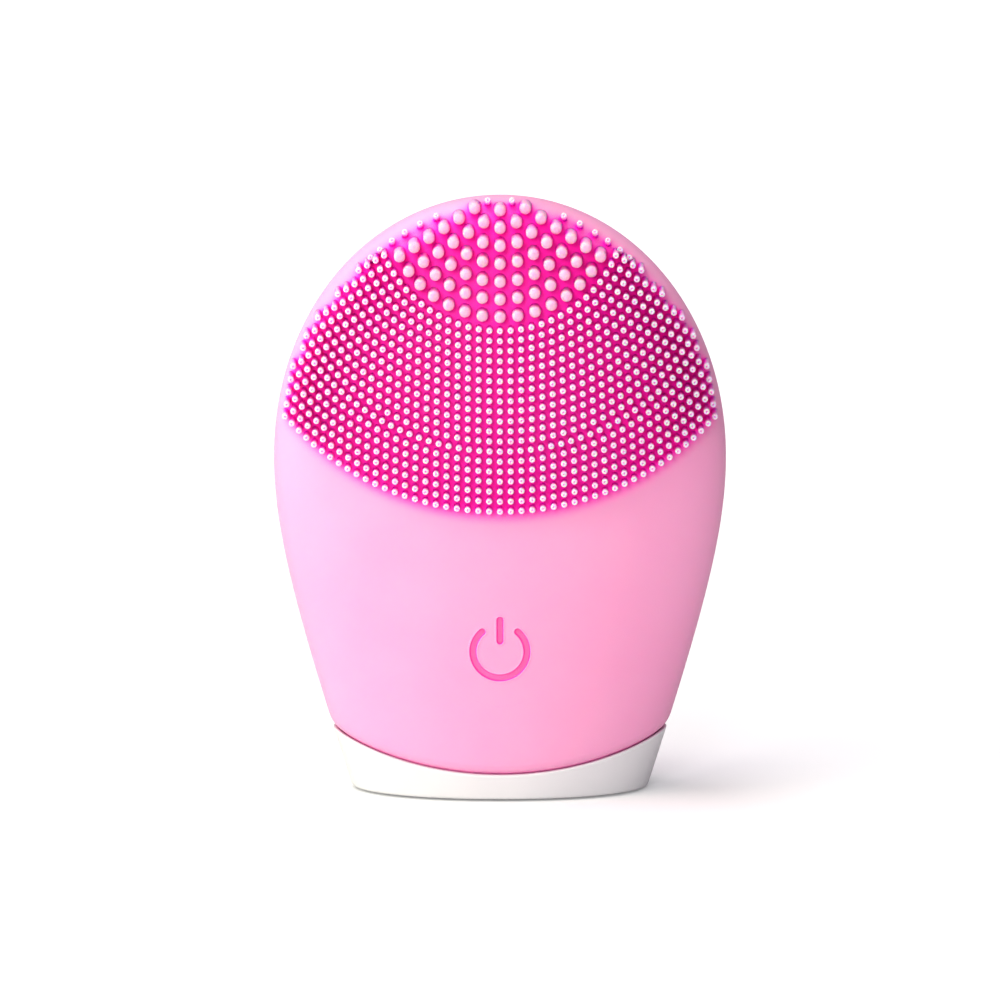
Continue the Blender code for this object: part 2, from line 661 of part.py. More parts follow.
def make_case_screws():
    names = ("top_left", "top_right", "low_left", "low_right")
    for name, (x, z) in zip(names, CASE_SCREWS):
        screw("case_screw_" + name, x, z, 5.4, -5.2, 1.7, 0.85, STEEL)


def centred_on(obj, x, y, z):
    """Moves the object's origin, and leaves its shape where it is."""
    at = Vector((x, y, z)) * MM
    for v in obj.data.vertices:
        v.co -= at
    obj.location = at


def group_bodies():
    """Each rigid body gets an empty on its joint's axis, and its pieces hang from it."""
    bodies = {
        "body_power_button": ((0, -half_depth(BUTTON_Z), BUTTON_Z), ("power_button_pad", "button_plunger", "switch_stem")),
        "body_motor_rotor": ((0, 0, MOTOR_HIGH), ("motor_shaft", "eccentric_weight")),
        "body_port_plug": ((0, half_depth(PORT_Z), PORT_Z), ("charge_port_plug",)),
        "body_stand": ((0, 0, 0), ("stand_cup", "stand_foot_pad")),
        "body_brush": ((0, 0, SLEEVE_FOOT), None),
    }
    placed = set()
    for name, (at, members) in bodies.items():
        empty = bpy.data.objects.new(name, None)
        empty.location = Vector(at) * MM
        bpy.context.scene.collection.objects.link(empty)
        if members is None:
            members = [o.name for o in bpy.data.objects
                       if o.type in ("MESH", "CURVE") and not o.hide_render and o.name not in placed]
        for member in members:
            obj = bpy.data.objects[member]
            obj.parent = empty
            obj.matrix_parent_inverse = Matrix.Translation(Vector(at) * MM).inverted()
            placed.add(member)


def main():
    for obj in list(bpy.data.objects):
        bpy.data.objects.remove(obj, do_unlink=True)
    make_stand()
    make_sleeve()
    make_button()
    make_housing()
    make_electronics()
    make_motor()
    make_case_screws()
    for name in ("power_button_pad", "button_plunger", "switch_stem"):
        centred_on(bpy.data.objects[name], 0, 0, BUTTON_Z)
    centred_on(bpy.data.objects["charge_port_plug"], 0, 0, PORT_Z)
    group_bodies()


main()
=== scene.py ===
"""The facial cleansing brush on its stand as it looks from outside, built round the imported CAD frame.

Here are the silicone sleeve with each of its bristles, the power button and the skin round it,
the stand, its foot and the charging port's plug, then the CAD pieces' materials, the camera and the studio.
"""

import json
import math
from collections import namedtuple

import bmesh
import bpy
import numpy as np
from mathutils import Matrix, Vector

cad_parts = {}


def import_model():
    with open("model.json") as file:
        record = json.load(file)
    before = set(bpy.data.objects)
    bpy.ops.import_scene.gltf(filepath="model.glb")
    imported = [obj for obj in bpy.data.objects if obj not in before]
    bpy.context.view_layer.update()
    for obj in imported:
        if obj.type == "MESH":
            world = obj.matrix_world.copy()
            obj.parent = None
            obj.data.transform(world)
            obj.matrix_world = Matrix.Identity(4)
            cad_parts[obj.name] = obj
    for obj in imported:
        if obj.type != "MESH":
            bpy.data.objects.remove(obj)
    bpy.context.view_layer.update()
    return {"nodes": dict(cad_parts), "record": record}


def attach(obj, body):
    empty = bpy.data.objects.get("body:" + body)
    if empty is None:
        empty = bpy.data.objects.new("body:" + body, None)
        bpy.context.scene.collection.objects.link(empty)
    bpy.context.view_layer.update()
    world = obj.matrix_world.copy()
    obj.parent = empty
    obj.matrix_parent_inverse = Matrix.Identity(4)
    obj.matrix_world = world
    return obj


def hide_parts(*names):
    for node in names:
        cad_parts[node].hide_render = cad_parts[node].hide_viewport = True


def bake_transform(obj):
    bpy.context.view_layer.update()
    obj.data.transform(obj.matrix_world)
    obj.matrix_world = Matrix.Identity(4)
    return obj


MM = 0.001

# Sizes are in millimetres, and MM turns them into metres. What this first block shares with the CAD is
# the same there, apart from two values: TOP_POWER is a closer fit to the outline than the CAD's 2.03, and
# STAND_UNDER is lower than the CAD's 0.5, so that the gap above the floor looks thin.
HEIGHT, WIDEST_Z, HALF_WIDTH, HALF_DEPTH = 89.9, 50.3, 33.86, 13.5
TOP_POWER, TOP_DEPTH_POWER, SECTION_POWER = 2.033, 2.2, 2.1
WAIST_SOFTNESS, WIDTH_TAPER, DEPTH_TAPER = 20.0, 0.341, 0.06
RIM_LOW, RIM_RADIUS, RIM_END, STAND_WALL, GAP = 4.1, 61.0, 30.0, 1.05, 0.3
STAND_UNDER, FOOT_RECESS, CUP_FLOOR = 0.3, 1.3, 2.3
SKIN, TUCK, SLEEVE_FOOT = 1.5, STAND_WALL + GAP, CUP_FLOOR + GAP
TUCK_TOP, TUCK_BOTTOM, NECK_INSET = 17.0, 13.0, 1.14
MOUTH_HALF_WIDTH, MOUTH_HALF_DEPTH = 15.0, 4.4
BUTTON_Z, PORT_Z, PORT_R = 23.1, 15.0, 2.9

# A bristle's length grows with how far the skin falls back under it, up to a longest that is less near
# the crown.
SHORTEST, LONGEST, LENGTHENING, FULL_FALL = 2.4, 4.8, 2.2, 8.0
CROWN_SHORTENING, CROWN_FROM, CROWN_TO = 2.2, 81.0, 88.0

# The bristles' fan: arcs of circles on a plane that leans back. FAN_Z is a closer fit than the CAD's
# 89.6. In CLOSE_ARC the bristles stand nearer together, at CLOSE_PITCH of the usual pitch.
FAN_Z, FAN_LEAN, FAN_FORWARD = 89.45, math.radians(10.0), 6.0
SEARCH_STEPS, SEARCH_WIDTH, SEARCH_TOP = 12, 0.98, HEIGHT - 0.5
FINE_START, FINE_STEP, FINE_ARCS, FINE_PITCH = 19.09, 1.479, 19, 1.565
CLOSE_ARC, CLOSE_PITCH, MOST_IN_HALF_ARC = 12, 0.962, 60
THICK_RADII, THICK_PITCH = (1.2, 3.9, 6.6, 9.25, 11.9, 14.5, 17.1), 2.63
# A thick arc reaches this angle to each side, and past it by this share of a pitch.
THICK_SPREAD, THICK_PAST = math.radians(64), 0.35

# How far the fields stay inside the outline.
FINE_MARGIN, FINE_TOP_MARGIN, THICK_MARGIN, THICK_TOP_MARGIN, JUST_IN = 0.3, 1.5, 1.2, 0.9, 0.1
CROWN_MARGIN, CROWN_MARGIN_FROM, CROWN_MARGIN_TO = 1.3, 70.0, 80.0

# How the fan's rows are narrowed, and lifted with the square of x: at SETTLE_Z, and what is lost of that
# with the square of x and with the rise above SETTLE_Z.
SETTLE_Z, SETTLE_RISE = 65.0, 30.0
SPREAD, SPREAD_LOSS, SPREAD_LOSS_UP = 1.006, 0.0000253, 0.0243
LIFT, LIFT_LOSS_UP = 0.000535, 0.000806

# The sparse row of short bristles along the crown's edge: x of each, and how far in it stands.
CROWN_ROW = (1.8, 9.45, 11.85, 14.1, 16.0, 17.8, 19.2)
CROWN_ROW_IN, CROWN_ROW_IN_SIDE = 0.65, 0.095
CROWN_LENGTH, CROWN_LEAN = 1.6, math.radians(30.0)

# A kind of bristle: its radius, the sides of its section, its stalk's radius factor, the depths below the
# tip between which its painted light fades into the stalk's painted shade, and the tip as (radius factor,
# depth) points.
Kind = namedtuple("Kind", "radius sides stalk fade tip")
FINE = Kind(0.47, 16, 0.9, (0.25, 1.2),
            [(1.0, 0.55), (0.985, 0.22), (0.93, 0.10), (0.82, 0.03), (0.66, 0.0), (0.44, 0.0),
             (0.30, 0.05), (0.16, 0.12)])
THICK = Kind(0.86, 28, 1.02, (0.5, 2.2),
             [(1.0, 0.75), (0.985, 0.52), (0.93, 0.33), (0.83, 0.19), (0.68, 0.09), (0.48, 0.03),
              (0.25, 0.005)])
# The root, as (what it adds to the stalk's factor, depth below the skin), where the stalk's own factor
# applies, as a share of the length below the tip, and how far the tip's middle point is sunk.
ROOT, STALK_AT, TIP_SUNK = ((0.19, 0.9), (0.13, 0.1), (0.05, -0.35)), 0.6, 0.005
# Inside this radius factor, a dimpled tip keeps only this share of its painted light, as painted shade in
# the dimple.
DIMPLE_FACTOR, DIMPLE_TIP_LIGHT = 0.2, 0.35


# ------------------------------------------------------------------ body shape

def smooth(start, end, value):
    """0 at start and before, 1 at end and after, with an S-curve between."""
    u = np.clip((np.asarray(value, float) - start) / (end - start), 0.0, 1.0)
    return u * u * (3 - 2 * u)


def half_width(z, inset=0.0):
    """Half the body's width at z, or that of a shape inset from it."""
    if z > WIDEST_Z:
        u = min((z - WIDEST_Z) / (HEIGHT - inset - WIDEST_Z), 1.0)
        return (HALF_WIDTH - inset) * (1 - u ** TOP_POWER) ** (1 / TOP_POWER)
    drop = math.hypot(WIDEST_Z - z, WAIST_SOFTNESS) - WAIST_SOFTNESS
    return HALF_WIDTH - WIDTH_TAPER * drop - inset


def half_depth(z, inset=0.0):
    """Half the body's depth at z, or that of a shape inset from it."""
    if z > WIDEST_Z:
        u = min((z - WIDEST_Z) / (HEIGHT - inset - WIDEST_Z), 1.0)
        return (HALF_DEPTH - inset) * (1 - u ** TOP_DEPTH_POWER) ** (1 / TOP_DEPTH_POWER)
    drop = math.hypot(WIDEST_Z - z, WAIST_SOFTNESS) - WAIST_SOFTNESS
    return HALF_DEPTH - DEPTH_TAPER * drop - inset


def skin_y(x, z, inset=0.0):
    """Y of the body's front at x and z."""
    q = min(abs(x) / max(half_width(z, inset), 1e-6), 1.0)
    return -half_depth(z, inset) * (1 - q ** SECTION_POWER) ** (1 / SECTION_POWER)


def bristle_length(x, z):
    """How far the bristle at x and z stands out of the skin."""
    fall = HALF_DEPTH + skin_y(x, z)
    longest = LONGEST - CROWN_SHORTENING * float(smooth(CROWN_FROM, CROWN_TO, z))
    return min(SHORTEST + LENGTHENING * (fall / FULL_FALL) ** 2, longest)


def on_fan(r, angle):
    """(x, z) of the bristle whose tip shows at radius r and this angle on the fan's leaning plane."""
    x, drop = r * math.sin(angle), r * math.cos(angle)
    z = FAN_Z - drop
    # How far forward the tip is depends on z, so z is found in steps.
    for _ in range(SEARCH_STEPS):
        limit = half_width(min(max(z, 0.0), SEARCH_TOP))
        at_x, at_z = min(abs(x), limit * SEARCH_WIDTH), min(z, SEARCH_TOP)
        tip = -skin_y(at_x, at_z) + bristle_length(at_x, at_z)
        z = FAN_Z - (drop - (tip - FAN_FORWARD) * math.sin(FAN_LEAN)) / math.cos(FAN_LEAN)
    return x, z


def rim_z(x):
    """Height of the stand's rim, an arc that is lowest in the middle."""
    return RIM_LOW + RIM_RADIUS - math.sqrt(RIM_RADIUS ** 2 - min(abs(x), RIM_END) ** 2)


def tuck_at(z):
    """How much further in the sleeve's inner wall runs, low down where it enters the stand."""
    return TUCK * float(smooth(TUCK_TOP, TUCK_BOTTOM, z))


# ------------------------------------------------------------------ mesh building

# The height, in mm, from which a section that isn't level starts to look for its own.
FIRST_GUESS = 12.0


def mesh_object(name, points, faces, material, smooth_shade=True):
    mesh = bpy.data.meshes.new(name)
    mesh.from_pydata([tuple(p) for p in points], [], [tuple(f) for f in faces])
    mesh.validate()
    mesh.update()
    obj = bpy.data.objects.new(name, mesh)
    bpy.context.scene.collection.objects.link(obj)
    mesh.materials.append(material)
    if smooth_shade:
        mesh.shade_smooth()
    return obj


def paint(obj, name, values):
    """Stores a value for each point, which attribute_of() reads in a material."""
    attribute = obj.data.attributes.new(name, "FLOAT", "POINT")
    attribute.data.foreach_set("value", np.asarray(values, np.float32))


def ring(at_z, wide_at, deep_at, count):
    """One closed section. at_z is a height or a rule that gives it from x, and wide_at and deep_at are
    rules that give the half width and half depth from z."""
    points = []
    for i in range(count):
        a = 2 * math.pi * (i + 0.5) / count
        c, s = math.cos(a), math.sin(a)
        across = math.copysign(abs(c) ** (2 / SECTION_POWER), c)
        along = math.copysign(abs(s) ** (2 / SECTION_POWER), s)
        z = at_z
        # The width depends on the height and the height on x, so they are found in steps.
        if callable(at_z):
            z = at_z(wide_at(FIRST_GUESS) * across)
            for _ in range(4):
                z = at_z(wide_at(z) * across)
        points.append((wide_at(z) * across * MM, deep_at(z) * along * MM, z * MM))
    return points


def body_ring(at_z, inset, count):
    """A section of the body."""
    return ring(at_z, lambda z: half_width(z, inset), lambda z: half_depth(z, inset), count)


def rim_ring(up, inset, count):
    """A section of the body that follows the stand's rim, this far above it."""
    return body_ring(lambda x: rim_z(x) + up, inset, count)


def dome(inset, steps, count, high_to_low=True):
    """Sections of the body from just under its top down to its widest height."""
    rings = []
    for k in range(1, steps + 1):
        a = 0.5 * math.pi * (1 - k / steps)
        z = WIDEST_Z + (HEIGHT - inset - WIDEST_Z) * math.sin(a)
        rings.append(body_ring(z, inset, count))
    return rings if high_to_low else rings[::-1]


def lofted(name, rings, material):
    """Skins the rings in order. A ring of one point closes an end."""
    points, starts = [], []
    for r in rings:
        starts.append(len(points))
        points.extend(r)
    faces = []
    for a, b, low, high in zip(starts, starts[1:], rings, rings[1:]):
        n = max(len(low), len(high))
        for i in range(n):
            j = (i + 1) % n
            if len(low) == 1:
                faces.append((a, b + j, b + i))
            elif len(high) == 1:
                faces.append((a + i, a + j, b))
            else:
                faces.append((a + i, a + j, b + j, b + i))
    obj = mesh_object(name, points, faces, material)
    face_out(obj)
    return obj


def face_out(obj):
    """Turns all faces outwards."""
    bm = bmesh.new()
    bm.from_mesh(obj.data)
    bmesh.ops.recalc_face_normals(bm, faces=bm.faces)
    if bm.calc_volume(signed=True) < 0:
        bmesh.ops.reverse_faces(bm, faces=bm.faces)
    bm.to_mesh(obj.data)
    bm.free()
    obj.data.shade_smooth()


def turned_rings(profile, count, z):
    """Rings round a line along Y at height z, from (radius, y) points."""
    rings = []
    for radius, y in profile:
        turn = [2 * math.pi * (i + 0.5) / count for i in range(count if radius > 1e-6 else 1)]
        rings.append([(radius * math.cos(a) * MM, y * MM, (z + radius * math.sin(a)) * MM) for a in turn])
    return rings


def drill(obj, radius, y_from, y_to, z, count):
    """Cuts a round hole along Y, in the middle of the width, and removes the cutter."""
    profile = [(0, y_from), (radius, y_from), (radius, y_to), (0, y_to)]
    cutter = lofted("drill", turned_rings(profile, count, z), obj.data.materials[0])
    mod = obj.modifiers.new("drill", "BOOLEAN")
    mod.operation, mod.solver, mod.object = "DIFFERENCE", "EXACT", cutter
    bpy.context.view_layer.update()
    done = bpy.data.meshes.new_from_object(obj.evaluated_get(bpy.context.evaluated_depsgraph_get()))
    obj.modifiers.clear()
    obj.data = done
    bpy.data.objects.remove(cutter)


# ------------------------------------------------------------------ materials

def new_material(name, rough, metallic=0.0):
    """Returns the material, its node tree and its shader."""
    mat = bpy.data.materials.new(name)
    mat.use_nodes = True
    shader = mat.node_tree.nodes["Principled BSDF"]
    shader.inputs["Roughness"].default_value = rough
    shader.inputs["Metallic"].default_value = metallic
    return mat, mat.node_tree, shader


def add_node(tree, kind, **values):
    """A new node. Each value sets the input of that name or, where there is none, the property."""
    node = tree.nodes.new(kind)
    for key, value in values.items():
        if key in node.inputs:
            node.inputs[key].default_value = value
        else:
            setattr(node, key, value)
    return node


def mix_colour(tree, factor, a, b):
    """Mixes a and b, colours or sockets, by the socket factor."""
    node = tree.nodes.new("ShaderNodeMix")
    node.data_type = "RGBA"
    for socket, value in ((node.inputs[6], a), (node.inputs[7], b)):
        if isinstance(value, tuple):
            socket.default_value = (*value, 1.0)
        else:
            tree.links.new(value, socket)
    tree.links.new(factor, node.inputs[0])
    return node.outputs[2]


def texture_noise(tree, scale, detail, rough=0.55, stretch=None):
    """Noise in the object's own space, drawn finer along an axis by stretch."""
    place = tree.nodes.new("ShaderNodeTexCoord")
    noise = add_node(tree, "ShaderNodeTexNoise", Scale=scale, Detail=detail, Roughness=rough)
    source = place.outputs["Object"]
    if stretch:
        mapping = tree.nodes.new("ShaderNodeMapping")
        mapping.inputs["Scale"].default_value = stretch
        tree.links.new(source, mapping.inputs["Vector"])
        source = mapping.outputs["Vector"]
    tree.links.new(source, noise.inputs["Vector"])
    return noise


def ramp(tree, source, low, high):
    """Spreads a noise's middle values over low to high."""
    node = tree.nodes.new("ShaderNodeMapRange")
    node.inputs["To Min"].default_value = low
    node.inputs["To Max"].default_value = high
    node.inputs["From Min"].default_value = 0.3
    node.inputs["From Max"].default_value = 0.7
    tree.links.new(source, node.inputs["Value"])
    return node.outputs["Result"]


def add_bump(tree, shader, height, strength, distance):
    bump = add_node(tree, "ShaderNodeBump", Strength=strength, Distance=distance)
    tree.links.new(height, bump.inputs["Height"])
    tree.links.new(bump.outputs["Normal"], shader.inputs["Normal"])


def attribute_of(tree, name):
    """A value that paint() has stored."""
    node = tree.nodes.new("ShaderNodeAttribute")
    node.attribute_name = name
    return node.outputs["Fac"]


PALE, WHITE = (0.885, 0.432, 0.63), (1.0, 1.0, 1.0)
# Painted light: the bristles' tips are painted paler than the silicone, as where light falls on them.
FINE_TIP_LIGHT = (0.90, 0.67, 0.79)
THICK_TIP_LIGHT = (0.90, 0.53, 0.63)
GROOVE = (0.93, 0.25, 0.53)
CUP_WHITE, FOOT_GREY = (0.75, 0.75, 0.75), (0.62, 0.62, 0.62)
# Painted shade: silicone is painted a deeper pink where its neighbours close it in, standing in for the
# shade
# and the light scattered between them: how open the place is, from 0 to 1, and its colour.
PAINTED_SHADE = ((0.0, (1.0, 0.0, 0.60)), (0.56, (1.0, 0.0, 0.60)), (0.70, (1.0, 0.05, 0.60)),
          (0.84, (0.97, 0.26, 0.62)), (1.0, PALE))
# The same painted shade for the sleeve's neck, which only the stand's rim closes in: a milder deeper pink
# at the rim.
NECK_PAINTED_SHADE = ((0.0, (1.0, 0.33, 0.66)), (0.45, (1.0, 0.36, 0.64)), (0.75, PALE), (1.0, PALE))
# How far away a neighbour still closes a place in, for the painted shade.
SLEEVE_REACH, FINE_REACH, THICK_REACH = 2.4, 2.0, 1.2
SILICONE_ROUGH, SCATTER_SPREAD, SHEEN = 0.5, (1.0, 0.2, 0.5), (1.0, 0.85, 0.95, 1.0)


def soft_body(shader, scale, scatter):
    """Lets light into the silicone: this share of it, to about scale metres."""
    shader.inputs["Specular IOR Level"].default_value = 0.45
    shader.inputs["Subsurface Weight"].default_value = scatter
    shader.inputs["Subsurface Radius"].default_value = SCATTER_SPREAD
    shader.inputs["Subsurface Scale"].default_value = scale


def openness(tree, reach):
    """How open a place is, from 0 to 1, counting only what is within reach."""
    node = tree.nodes.new("ShaderNodeAmbientOcclusion")
    node.samples = 8
    node.inputs["Distance"].default_value = reach * MM
    return node.outputs["AO"]


def painted_shade_colour(tree, how_open, depths):
    """The painted shade that depths gives for how open the place is."""
    colours = tree.nodes.new("ShaderNodeValToRGB")
    stops = colours.color_ramp
    stops.elements[0].position, stops.elements[1].position = depths[0][0], depths[-1][0]
    stops.elements[0].color, stops.elements[1].color = (*depths[0][1], 1), (*depths[-1][1], 1)
    for at, colour in depths[1:-1]:
        stops.elements.new(at).color = (*colour, 1)
    tree.links.new(how_open, colours.inputs["Fac"])
    return colours.outputs["Color"]


def silicone(name, groove=None):
    """Soft-touch silicone: cloudy colour, painted shade where neighbours close it in and milder painted
    shade along the neck, fine moulded tooth, patchy sheen. groove is the colour of what is painted deep."""
    mat, tree, shader = new_material(name, SILICONE_ROUGH)
    cloud = texture_noise(tree, scale=60.0, detail=2.0)
    how_open = openness(tree, SLEEVE_REACH)
    # Painted shade where neighbours close the silicone in, and along the neck the milder painted shade of
    # the rim's crease.
    colour = mix_colour(tree, attribute_of(tree, "neck"), painted_shade_colour(tree, how_open, PAINTED_SHADE),
                        painted_shade_colour(tree, how_open, NECK_PAINTED_SHADE))
    colour = mix_colour(tree, ramp(tree, cloud.outputs["Fac"], 0.0, 0.05), colour, WHITE)
    if groove:
        colour = mix_colour(tree, attribute_of(tree, "deep"), colour, groove)
    tree.links.new(colour, shader.inputs["Base Color"])
    tooth = texture_noise(tree, scale=5200.0, detail=2.0, rough=0.6)
    patches = ramp(tree, cloud.outputs["Fac"], SILICONE_ROUGH - 0.04, SILICONE_ROUGH + 0.05)
    tree.links.new(patches, shader.inputs["Roughness"])
    add_bump(tree, shader, tooth.outputs["Fac"], strength=0.12, distance=0.00003)
    soft_body(shader, scale=0.0008, scatter=0.12)
    shader.inputs["Sheen Weight"].default_value = 0.06
    shader.inputs["Sheen Roughness"].default_value = 0.5
    shader.inputs["Sheen Tint"].default_value = SHEEN
    return mat


def bristle_material(name, tip, reach):
    """Silicone that lets more light through, with painted shade where neighbours close it in and painted
    light at the tip.
    """
    mat, tree, shader = new_material(name, SILICONE_ROUGH)
    # Painted shade on the stalks: a deeper pink where neighbours close them in.
    stalk = painted_shade_colour(tree, openness(tree, reach), PAINTED_SHADE)
    cloud = texture_noise(tree, scale=900.0, detail=2.0)
    stalk = mix_colour(tree, ramp(tree, cloud.outputs["Fac"], 0.0, 0.06), stalk, PALE)
    # Painted light on the tip, fading into the stalk's painted shade.
    colour = mix_colour(tree, attribute_of(tree, "tip"), stalk, tip)
    tree.links.new(colour, shader.inputs["Base Color"])
    tooth = texture_noise(tree, scale=6000.0, detail=2.0)
    add_bump(tree, shader, tooth.outputs["Fac"], strength=0.10, distance=0.00002)
    soft_body(shader, scale=0.004, scatter=0.9)
    return mat


def plastic(name, base, rough, tooth=0.15, scale=3500.0):
    """Moulded plastic or rubber: slight clouds, patchy roughness and a grain."""
    mat, tree, shader = new_material(name, rough)
    cloud = texture_noise(tree, scale=45.0, detail=2.0)
    colour = mix_colour(tree, ramp(tree, cloud.outputs["Fac"], 0.0, 1.0),
                        tuple(c * 0.975 for c in base), tuple(min(c * 1.015, 1.0) for c in base))
    tree.links.new(colour, shader.inputs["Base Color"])
    tree.links.new(ramp(tree, cloud.outputs["Fac"], rough - 0.05, rough + 0.06), shader.inputs["Roughness"])
    grain = texture_noise(tree, scale, detail=3.0, rough=0.6)
    add_bump(tree, shader, grain.outputs["Fac"], strength=tooth, distance=0.00003)
    return mat


def metal(name, base, rough):
    """Metal with fine lines across Z."""
    mat, tree, shader = new_material(name, rough, metallic=1.0)
    lines = texture_noise(tree, scale=900.0, detail=3.0, rough=0.6, stretch=(1.0, 1.0, 12.0))
    colour = mix_colour(tree, ramp(tree, lines.outputs["Fac"], 0.0, 1.0),
                        tuple(c * 0.9 for c in base), base)
    tree.links.new(colour, shader.inputs["Base Color"])
    tree.links.new(ramp(tree, lines.outputs["Fac"], rough - 0.08, rough + 0.12), shader.inputs["Roughness"])
    add_bump(tree, shader, lines.outputs["Fac"], strength=0.12, distance=0.00004)
    return mat


def board_material(name):
    """Green circuit board with paler lines, as of traces."""
    mat, tree, shader = new_material(name, rough=0.3)
    place = tree.nodes.new("ShaderNodeTexCoord")
    traces = add_node(tree, "ShaderNodeTexBrick", Scale=420.0)
    traces.inputs["Color1"].default_value = (0.015, 0.16, 0.075, 1)
    traces.inputs["Color2"].default_value = (0.02, 0.20, 0.09, 1)
    traces.inputs["Mortar"].default_value = (0.05, 0.33, 0.16, 1)
    mapping = tree.nodes.new("ShaderNodeMapping")
    mapping.inputs["Rotation"].default_value = (math.pi / 2, 0, 0)
    tree.links.new(place.outputs["Object"], mapping.inputs["Vector"])
    tree.links.new(mapping.outputs["Vector"], traces.inputs["Vector"])
    tree.links.new(traces.outputs["Color"], shader.inputs["Base Color"])
    add_bump(tree, shader, traces.outputs["Fac"], strength=0.2, distance=0.00004)
    return mat


# ------------------------------------------------------------------ bristles

def settle(x, z):
    """The fan closes a little towards the sides, where the skin turns away."""
    rise = (z - SETTLE_Z) / SETTLE_RISE
    return (x * (SPREAD - SPREAD_LOSS * x * x - SPREAD_LOSS_UP * rise),
            z + x * x * (LIFT - LIFT_LOSS_UP * rise))


def crown_edge(x):
    """Height of the outline over x."""
    return WIDEST_Z + (HEIGHT - WIDEST_Z) * (1 - (x / HALF_WIDTH) ** TOP_POWER) ** (1 / TOP_POWER)


def fine_places():
    """(x, z, length, lean) of each fine bristle: the arcs, then the sparse row at the crown's edge."""
    places = []
    for k in range(FINE_ARCS):
        r = FINE_START + FINE_STEP * k
        pitch = FINE_PITCH * (CLOSE_PITCH if k == CLOSE_ARC else 1.0)
        for i in range(MOST_IN_HALF_ARC):
            x, z = on_fan(r, i * pitch / r)
            margin = FINE_MARGIN + CROWN_MARGIN * float(smooth(CROWN_MARGIN_FROM, CROWN_MARGIN_TO, z))
            if z > HEIGHT - FINE_TOP_MARGIN or x > half_width(z) - margin:
                break
            x, z = settle(x, z)
            for side in (-1, 1) if i else (1,):
                places.append((side * x, z, bristle_length(x, z), 0.0))
    for x in CROWN_ROW:
        z = crown_edge(x) - CROWN_ROW_IN - CROWN_ROW_IN_SIDE * x
        places += [(side * x, z, CROWN_LENGTH, CROWN_LEAN) for side in (-1, 1)]
    return places


def thick_places():
    """(x, z, length, lean) of each thick bristle."""
    places = []
    for r in THICK_RADII:
        each = int(THICK_SPREAD * r / THICK_PITCH + THICK_PAST)
        for k in range(-each, each + 1):
            x, z = settle(*on_fan(r, k * THICK_PITCH / r))
            if abs(x) < half_width(min(z, HEIGHT - JUST_IN)) - THICK_MARGIN:
                z = min(z, HEIGHT - THICK_TOP_MARGIN)
                places.append((x, z, bristle_length(x, z), 0.0))
    return places


def bristles(name, places, kind, material):
    """The bristles at these places in one mesh. Each widens towards its root, which is sunk in the skin."""
    points, faces, tip_light_paint = [], [], []
    sides, end = kind.sides, kind.tip[-1][1]
    turn = [2 * math.pi * i / sides for i in range(sides)]
    dimple = end > min(below for _, below in kind.tip)
    for x, z, length, lean in places:
        root_y = skin_y(x, z)
        profile = [(kind.stalk + more, length + below) for more, below in ROOT]
        profile += [(kind.stalk, length * STALK_AT)] + kind.tip + [(0.0, end + TIP_SUNK)]
        start = len(points)
        for factor, below in profile:
            # Painted light on the tip, fading down the stalk into painted shade.
            value = 1.0 - float(smooth(*kind.fade, below))
            # Painted shade in the dimple.
            if dimple and factor < DIMPLE_FACTOR:
                value = DIMPLE_TIP_LIGHT
            along = length - below
            for a in turn if factor else (0.0,):
                u, v = kind.radius * factor * math.cos(a), kind.radius * factor * math.sin(a)
                points.append(((x + u) * MM,
                               (root_y - along * math.cos(lean) + v * math.sin(lean)) * MM,
                               (z + along * math.sin(lean) + v * math.cos(lean)) * MM))
                tip_light_paint.append(value)
        rows = len(profile)
        for k in range(rows - 2):
            for i in range(sides):
                j = (i + 1) % sides
                a, b = start + k * sides, start + (k + 1) * sides
                faces.append((a + i, a + j, b + j, b + i))
        faces.append(tuple(start + i for i in reversed(range(sides))))
        top = start + (rows - 2) * sides
        for i in range(sides):
            faces.append((top + i, top + (i + 1) % sides, len(points) - 1))
    obj = mesh_object(name, points, faces, material)
    paint(obj, "tip", tip_light_paint)
    return obj


# ------------------------------------------------------------------ pieces

# The power symbol: its ring's radius, half the stroke, half the gap, and the bar's ends. Its groove's
# wall lies between these distances outside the stroke, and a faint lip runs round it. The symbol is a
# closer fit than the CAD's.
ICON_R, ICON_HALF, ICON_GAP, ICON_BAR = 4.02, 0.46, math.radians(41.0), (1.64, 4.81)
ICON_DEPTH, ICON_WALL, LIP, LIP_OUT, LIP_WIDTH = 0.42, (0.07, -0.16), 0.05, 0.16, 0.13
# The button's face, then the skin round it, between FLEX_FROM and FLEX_TO.
FACE_R, FLEX_FROM, FLEX_TO, FLEX_R = 5.6, 5.75, 7.9, 8.4
SECTORS, PER_SECTOR, FACE_STEPS, FLEX_STEPS = 12, 32, 84, 14
# Where the skin round the button takes the true surface's normals.
FRONT_Y, FRONT_HALF, FRONT_LOW, FRONT_HIGH, SAME_WAY = -5, 16, 12, 36, 0.97

# Points round the sections of each piece.
SLEEVE_COUNT, STAND_COUNT, FOOT_COUNT, PLUG_COUNT, PORT_COUNT = 256, 224, 128, 96, 64
# The holes: Y of their ends, the sides of the button's, which meet the sectors' edges, and the clearance
# round the plug.
BUTTON_HOLE, PORT_HOLE = (-16.0, -7.0), (6.0, 16.0)
BUTTON_HOLE_SIDES, PORT_CLEARANCE = SECTORS * 8, 0.25
# The sleeve's sections are level down to PLAIN_TO and then follow the rim, from NECK_START to NECK_END
# above it. There the neck turns in over a height of NECK_TURN, and it ends NECK_DROP below the rim.
PLAIN_TO, NECK_START, NECK_END = 18.5, 7.0, 3.4
NECK_TURN, NECK_STEPS, NECK_CURVE, NECK_RISE, NECK_DROP = 1.9, 12, 1.2, 0.05, 0.5
